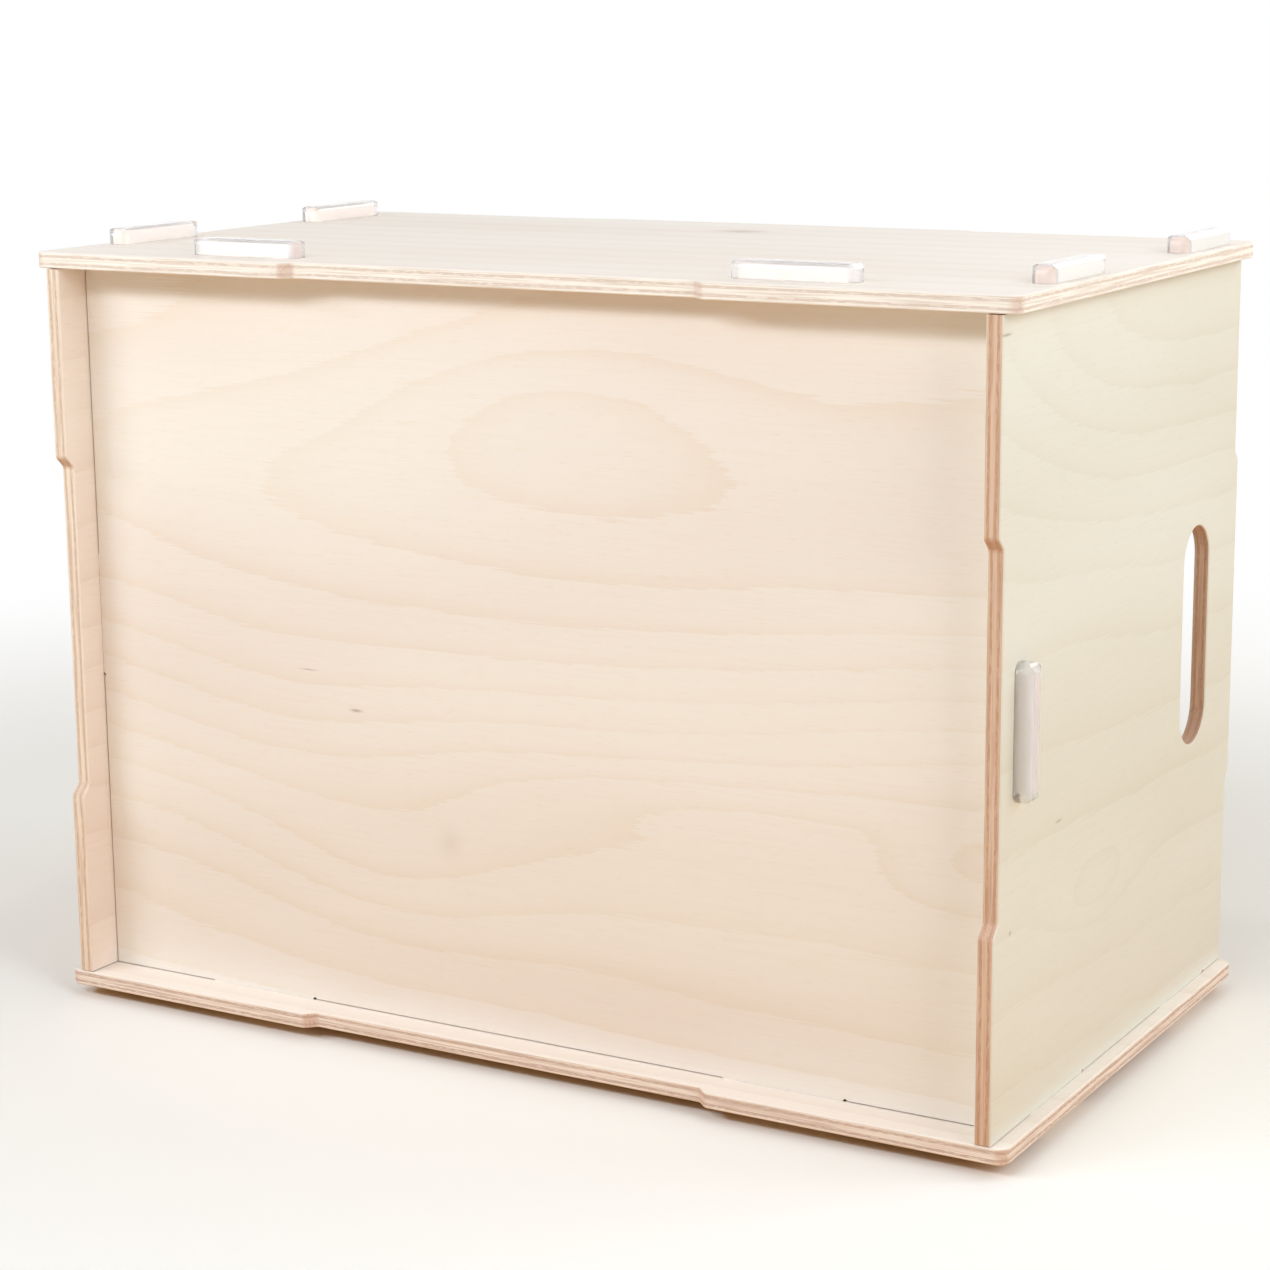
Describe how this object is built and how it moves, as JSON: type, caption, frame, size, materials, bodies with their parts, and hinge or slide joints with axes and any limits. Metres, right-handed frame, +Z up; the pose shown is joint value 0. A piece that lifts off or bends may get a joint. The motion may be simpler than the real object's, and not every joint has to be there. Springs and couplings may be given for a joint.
{
  "type": "chuck box",
  "caption": "Knock-down plywood camp box with an open front, through tenons, clear push-on caps, stacking notches and oval hand slots.",
  "frame": {"origin": "on the floor, under the middle of the box that holds the crate and its caps", "axes": "+X along the long walls, +Y from the closed back panel to the open mouth, +Z up as it stands on one long wall"},
  "size_m": [0.442, 0.253, 0.3299],
  "materials": {
    "birch_plywood": "sanded, unvarnished birch veneer with five-ply edges",
    "clear_cap": "clear soft vinyl, glossy"
  },
  "bodies": {
    "crate": {"top_panel": "birch_plywood", "bottom_panel": "birch_plywood", "left_side_panel": "birch_plywood", "right_side_panel": "birch_plywood", "back_panel": "birch_plywood"},
    "top_cap_back_left": {"top_cap_back_left": "clear_cap"},
    "top_cap_left_inner": {"top_cap_left_inner": "clear_cap"},
    "top_cap_left_mouth": {"top_cap_left_mouth": "clear_cap"},
    "top_cap_back_right": {"top_cap_back_right": "clear_cap"},
    "top_cap_right_inner": {"top_cap_right_inner": "clear_cap"},
    "top_cap_right_mouth": {"top_cap_right_mouth": "clear_cap"},
    "side_cap_left": {"side_cap_left": "clear_cap"},
    "side_cap_right": {"side_cap_right": "clear_cap"}
  },
  "joints": [
    {"name": "top_cap_back_left_pull", "type": "slide", "parent": "crate", "child": "top_cap_back_left", "axis": [0, 0, 1], "range_m": [0, 0.02]},
    {"name": "top_cap_left_inner_pull", "type": "slide", "parent": "crate", "child": "top_cap_left_inner", "axis": [0, 0, 1], "range_m": [0, 0.02]},
    {"name": "top_cap_left_mouth_pull", "type": "slide", "parent": "crate", "child": "top_cap_left_mouth", "axis": [0, 0, 1], "range_m": [0, 0.02]},
    {"name": "top_cap_back_right_pull", "type": "slide", "parent": "crate", "child": "top_cap_back_right", "axis": [0, 0, 1], "range_m": [0, 0.02]},
    {"name": "top_cap_right_inner_pull", "type": "slide", "parent": "crate", "child": "top_cap_right_inner", "axis": [0, 0, 1], "range_m": [0, 0.02]},
    {"name": "top_cap_right_mouth_pull", "type": "slide", "parent": "crate", "child": "top_cap_right_mouth", "axis": [0, 0, 1], "range_m": [0, 0.02]},
    {"name": "side_cap_left_pull", "type": "slide", "parent": "crate", "child": "side_cap_left", "axis": [-1, 0, 0], "range_m": [0, 0.02]},
    {"name": "side_cap_right_pull", "type": "slide", "parent": "crate", "child": "side_cap_right", "axis": [1, 0, 0], "range_m": [0, 0.02]}
  ]
}
